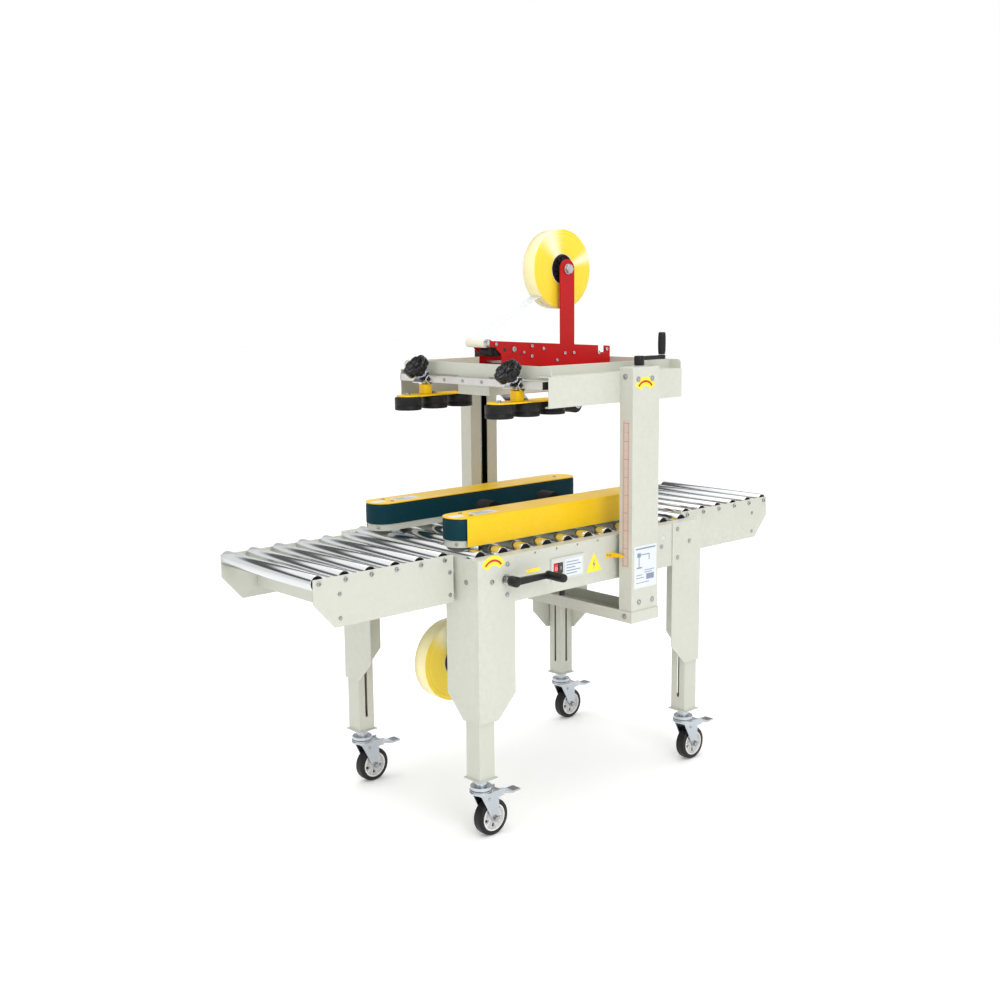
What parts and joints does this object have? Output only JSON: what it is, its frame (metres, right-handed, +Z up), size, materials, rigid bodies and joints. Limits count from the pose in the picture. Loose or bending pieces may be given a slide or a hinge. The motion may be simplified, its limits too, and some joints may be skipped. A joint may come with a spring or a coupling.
{
  "type": "carton sealer machine",
  "caption": "Side-belt carton sealer on castors: roller tables, twin side drive belts, tape heads above and below, and a crank-lifted gantry.",
  "frame": {"origin": "on the floor, at the middle of the whole footprint; the conveyor centre line is 17 mm behind it in +Y because the side crank reaches further out in front", "axes": "+X the way the cartons travel, along the conveyor; +Z up; -Y the operator side with the switches and cranks"},
  "size_m": [1.7786, 0.766, 1.614],
  "materials": {
    "cream_paint": "satin powder coat",
    "red_paint": "gloss powder coat",
    "yellow_paint": "gloss powder coat",
    "chrome_steel": "bright plated",
    "zinc_steel": "bright zinc plated",
    "black_rubber": "satin",
    "tyre_rubber": "satin",
    "teal_belt": "ribbed matt",
    "black_plastic": "fine grained",
    "black_gloss": "gloss",
    "grey_plastic": "satin",
    "red_plastic": "gloss",
    "tape_film": "clear film, wound",
    "white_plastic": "satin",
    "white_label": "printed label"
  },
  "bodies": {
    "frame": {"bed_frame": "cream_paint", "outer_legs": "cream_paint", "table_frames": "cream_paint", "roller_axles": "zinc_steel", "bed_rollers": "chrome_steel", "lower_head_frame": "cream_paint", "switch_box": "grey_plastic", "guide_carriages": "cream_paint", "frame_screws": "zinc_steel", "width_rods": "chrome_steel", "height_pointer": "yellow_paint"},
    "stop_button": {"stop_button": "red_plastic"},
    "start_button": {"start_button": "black_gloss"},
    "legs": {"inner_legs": "cream_paint"},
    "gantry": {"lift_columns": "cream_paint", "base_channel": "cream_paint", "head_frame": "cream_paint", "press_bar": "chrome_steel", "upper_head_frame": "red_paint"},
    "upper_tape_roll": {"upper_tape_roll": "tape_film"},
    "upper_front_arm": {"upper_front_arm": "black_rubber"},
    "upper_rear_arm": {"upper_rear_arm": "black_rubber"},
    "lower_tape_roll": {"lower_tape_roll": "tape_film"},
    "lower_front_arm": {"lower_front_arm": "black_rubber"},
    "lower_rear_arm": {"lower_rear_arm": "black_rubber"},
    "near_press": {"near_press_unit": "black_rubber"},
    "far_press": {"far_press_unit": "black_rubber"},
    "column_crank": {"column_crank": "black_plastic"},
    "far_lift_screw": {"far_lift_screw": "zinc_steel"},
    "side_crank": {"side_crank": "black_plastic"},
    "near_belt": {"near_belt_unit": "yellow_paint", "near_belt": "teal_belt", "near_belt_pulleys": "black_plastic"},
    "far_belt": {"far_belt_unit": "yellow_paint", "far_belt": "teal_belt", "far_belt_pulleys": "black_plastic"},
    "near_infeed_caster_fork": {"near_infeed_caster_fork": "zinc_steel"},
    "near_infeed_caster_wheel": {"near_infeed_caster_wheel": "tyre_rubber"},
    "near_infeed_caster_pedal": {"near_infeed_caster_brake_pedal": "zinc_steel"},
    "far_infeed_caster_fork": {"far_infeed_caster_fork": "zinc_steel"},
    "far_infeed_caster_wheel": {"far_infeed_caster_wheel": "tyre_rubber"},
    "far_infeed_caster_pedal": {"far_infeed_caster_brake_pedal": "zinc_steel"},
    "near_outfeed_caster_fork": {"near_outfeed_caster_fork": "zinc_steel"},
    "near_outfeed_caster_wheel": {"near_outfeed_caster_wheel": "tyre_rubber"},
    "near_outfeed_caster_pedal": {"near_outfeed_caster_brake_pedal": "zinc_steel"},
    "far_outfeed_caster_fork": {"far_outfeed_caster_fork": "zinc_steel"},
    "far_outfeed_caster_wheel": {"far_outfeed_caster_wheel": "tyre_rubber"},
    "far_outfeed_caster_pedal": {"far_outfeed_caster_brake_pedal": "zinc_steel"},
    "infeed_roller_1": {"infeed_roller_1": "chrome_steel"},
    "infeed_roller_2": {"infeed_roller_2": "chrome_steel"},
    "infeed_roller_3": {"infeed_roller_3": "chrome_steel"},
    "infeed_roller_4": {"infeed_roller_4": "chrome_steel"},
    "infeed_roller_5": {"infeed_roller_5": "chrome_steel"},
    "infeed_roller_6": {"infeed_roller_6": "chrome_steel"},
    "outfeed_roller_1": {"outfeed_roller_1": "chrome_steel"},
    "outfeed_roller_2": {"outfeed_roller_2": "chrome_steel"},
    "outfeed_roller_3": {"outfeed_roller_3": "chrome_steel"},
    "outfeed_roller_4": {"outfeed_roller_4": "chrome_steel"},
    "outfeed_roller_5": {"outfeed_roller_5": "chrome_steel"},
    "outfeed_roller_6": {"outfeed_roller_6": "chrome_steel"}
  },
  "joints": [
    {"name": "stop_button_press", "type": "slide", "parent": "frame", "child": "stop_button", "axis": [0, 1, 0], "range_m": [0, 0.0018], "stiffness_N_per_m": 400, "springref_m": -0.001},
    {"name": "start_button_press", "type": "slide", "parent": "frame", "child": "start_button", "axis": [0, 1, 0], "range_m": [0, 0.0018], "stiffness_N_per_m": 400, "springref_m": -0.001},
    {"name": "leg_height", "type": "slide", "parent": "frame", "child": "legs", "axis": [0, 0, 1], "range_m": [-0.03, 0.12]},
    {"name": "near_infeed_caster_swivel", "type": "hinge", "parent": "legs", "child": "near_infeed_caster_fork", "pos_m": [-0.414, -0.25, 0], "axis": [0, 0, 1], "continuous": true},
    {"name": "near_infeed_caster_wheel_spin", "type": "hinge", "parent": "near_infeed_caster_fork", "child": "near_infeed_caster_wheel", "pos_m": [-0.381, -0.25, 0.05], "axis": [0, 1, 0], "continuous": true},
    {"name": "near_infeed_caster_brake", "type": "hinge", "parent": "near_infeed_caster_fork", "child": "near_infeed_caster_pedal", "pos_m": [-0.357, -0.25, 0.114], "axis": [0, 1, 0], "range_deg": [0, 18]},
    {"name": "far_infeed_caster_swivel", "type": "hinge", "parent": "legs", "child": "far_infeed_caster_fork", "pos_m": [-0.414, 0.284, 0], "axis": [0, 0, 1], "continuous": true},
    {"name": "far_infeed_caster_wheel_spin", "type": "hinge", "parent": "far_infeed_caster_fork", "child": "far_infeed_caster_wheel", "pos_m": [-0.381, 0.284, 0.05], "axis": [0, 1, 0], "continuous": true},
    {"name": "far_infeed_caster_brake", "type": "hinge", "parent": "far_infeed_caster_fork", "child": "far_infeed_caster_pedal", "pos_m": [-0.357, 0.284, 0.114], "axis": [0, 1, 0], "range_deg": [0, 18]},
    {"name": "near_outfeed_caster_swivel", "type": "hinge", "parent": "legs", "child": "near_outfeed_caster_fork", "pos_m": [0.414, -0.25, 0], "axis": [0, 0, 1], "continuous": true},
    {"name": "near_outfeed_caster_wheel_spin", "type": "hinge", "parent": "near_outfeed_caster_fork", "child": "near_outfeed_caster_wheel", "pos_m": [0.447, -0.25, 0.05], "axis": [0, 1, 0], "continuous": true},
    {"name": "near_outfeed_caster_brake", "type": "hinge", "parent": "near_outfeed_caster_fork", "child": "near_outfeed_caster_pedal", "pos_m": [0.471, -0.25, 0.114], "axis": [0, 1, 0], "range_deg": [0, 18]},
    {"name": "far_outfeed_caster_swivel", "type": "hinge", "parent": "legs", "child": "far_outfeed_caster_fork", "pos_m": [0.414, 0.284, 0], "axis": [0, 0, 1], "continuous": true},
    {"name": "far_outfeed_caster_wheel_spin", "type": "hinge", "parent": "far_outfeed_caster_fork", "child": "far_outfeed_caster_wheel", "pos_m": [0.447, 0.284, 0.05], "axis": [0, 1, 0], "continuous": true},
    {"name": "far_outfeed_caster_brake", "type": "hinge", "parent": "far_outfeed_caster_fork", "child": "far_outfeed_caster_pedal", "pos_m": [0.471, 0.284, 0.114], "axis": [0, 1, 0], "range_deg": [0, 18]},
    {"name": "infeed_roller_1_spin", "type": "hinge", "parent": "frame", "child": "infeed_roller_1", "pos_m": [-0.8693, 0.017, 0.756], "axis": [0, 1, 0], "continuous": true},
    {"name": "infeed_roller_2_spin", "type": "hinge", "parent": "frame", "child": "infeed_roller_2", "pos_m": [-0.7921, 0.017, 0.756], "axis": [0, 1, 0], "continuous": true},
    {"name": "infeed_roller_3_spin", "type": "hinge", "parent": "frame", "child": "infeed_roller_3", "pos_m": [-0.7149, 0.017, 0.756], "axis": [0, 1, 0], "continuous": true},
    {"name": "infeed_roller_4_spin", "type": "hinge", "parent": "frame", "child": "infeed_roller_4", "pos_m": [-0.6377, 0.017, 0.756], "axis": [0, 1, 0], "continuous": true},
    {"name": "infeed_roller_5_spin", "type": "hinge", "parent": "frame", "child": "infeed_roller_5", "pos_m": [-0.5605, 0.017, 0.756], "axis": [0, 1, 0], "continuous": true},
    {"name": "infeed_roller_6_spin", "type": "hinge", "parent": "frame", "child": "infeed_roller_6", "pos_m": [-0.4833, 0.017, 0.756], "axis": [0, 1, 0], "continuous": true},
    {"name": "outfeed_roller_1_spin", "type": "hinge", "parent": "frame", "child": "outfeed_roller_1", "pos_m": [0.8693, 0.017, 0.756], "axis": [0, 1, 0], "continuous": true},
    {"name": "outfeed_roller_2_spin", "type": "hinge", "parent": "frame", "child": "outfeed_roller_2", "pos_m": [0.7921, 0.017, 0.756], "axis": [0, 1, 0], "continuous": true},
    {"name": "outfeed_roller_3_spin", "type": "hinge", "parent": "frame", "child": "outfeed_roller_3", "pos_m": [0.7149, 0.017, 0.756], "axis": [0, 1, 0], "continuous": true},
    {"name": "outfeed_roller_4_spin", "type": "hinge", "parent": "frame", "child": "outfeed_roller_4", "pos_m": [0.6377, 0.017, 0.756], "axis": [0, 1, 0], "continuous": true},
    {"name": "outfeed_roller_5_spin", "type": "hinge", "parent": "frame", "child": "outfeed_roller_5", "pos_m": [0.5605, 0.017, 0.756], "axis": [0, 1, 0], "continuous": true},
    {"name": "outfeed_roller_6_spin", "type": "hinge", "parent": "frame", "child": "outfeed_roller_6", "pos_m": [0.4833, 0.017, 0.756], "axis": [0, 1, 0], "continuous": true},
    {"name": "gantry_lift", "type": "slide", "parent": "frame", "child": "gantry", "axis": [0, 0, 1], "range_m": [-0.2, 0.07]},
    {"name": "column_crank_turn", "type": "hinge", "parent": "gantry", "child": "column_crank", "pos_m": [0.1225, -0.319, 0], "axis": [0, 0, 1], "continuous": true},
    {"name": "far_lift_screw_turn", "type": "hinge", "parent": "gantry", "child": "far_lift_screw", "pos_m": [0.1225, 0.353, 0], "axis": [0, 0, 1], "continuous": true},
    {"name": "upper_roll_spin", "type": "hinge", "parent": "gantry", "child": "upper_tape_roll", "pos_m": [0.136, 0.017, 1.5], "axis": [0, 1, 0], "continuous": true},
    {"name": "upper_front_arm_swing", "type": "hinge", "parent": "gantry", "child": "upper_front_arm", "pos_m": [-0.075, 0.017, 1.172], "axis": [0, -1, 0], "range_deg": [0, 40], "stiffness_Nm_per_rad": 1.5, "springref_deg": -40.11},
    {"name": "upper_rear_arm_swing", "type": "hinge", "parent": "gantry", "child": "upper_rear_arm", "pos_m": [0.115, 0.017, 1.172], "axis": [0, -1, 0], "range_deg": [0, 40]},
    {"name": "lower_roll_spin", "type": "hinge", "parent": "frame", "child": "lower_tape_roll", "pos_m": [-0.288, 0.017, 0.41], "axis": [0, 1, 0], "continuous": true},
    {"name": "lower_front_arm_swing", "type": "hinge", "parent": "frame", "child": "lower_front_arm", "pos_m": [-0.205, 0.017, 0.735], "axis": [0, 1, 0], "range_deg": [0, 45], "stiffness_Nm_per_rad": 2, "springref_deg": -68.75},
    {"name": "lower_rear_arm_swing", "type": "hinge", "parent": "frame", "child": "lower_rear_arm", "pos_m": [0.035, 0.017, 0.735], "axis": [0, 1, 0], "range_deg": [0, 45]},
    {"name": "near_press_slide", "type": "slide", "parent": "gantry", "child": "near_press", "axis": [0, 1, 0], "range_m": [-0.01, 0.07]},
    {"name": "far_press_slide", "type": "slide", "parent": "gantry", "child": "far_press", "axis": [0, -1, 0], "range_m": [-0.01, 0.07]},
    {"name": "near_belt_width", "type": "slide", "parent": "frame", "child": "near_belt", "axis": [0, 1, 0], "range_m": [-0.068, 0.055]},
    {"name": "far_belt_width", "type": "slide", "parent": "frame", "child": "far_belt", "axis": [0, -1, 0], "range_m": [-0.068, 0.055]},
    {"name": "side_crank_turn", "type": "hinge", "parent": "frame", "child": "side_crank", "pos_m": [-0.3486, 0.017, 0.698], "axis": [0, 1, 0], "range_deg": [-2460, 1990]}
  ],
  "couplings": [
    {"joint": "upper_rear_arm_swing", "follows": "upper_front_arm_swing", "ratio": 1},
    {"joint": "lower_rear_arm_swing", "follows": "lower_front_arm_swing", "ratio": 1},
    {"joint": "far_belt_width", "follows": "near_belt_width", "ratio": 1},
    {"joint": "side_crank_turn", "follows": "near_belt_width", "rad_per_m": 628.32},
    {"joint": "column_crank_turn", "follows": "gantry_lift", "rad_per_m": 628.32},
    {"joint": "far_lift_screw_turn", "follows": "gantry_lift", "rad_per_m": 628.32}
  ]
}
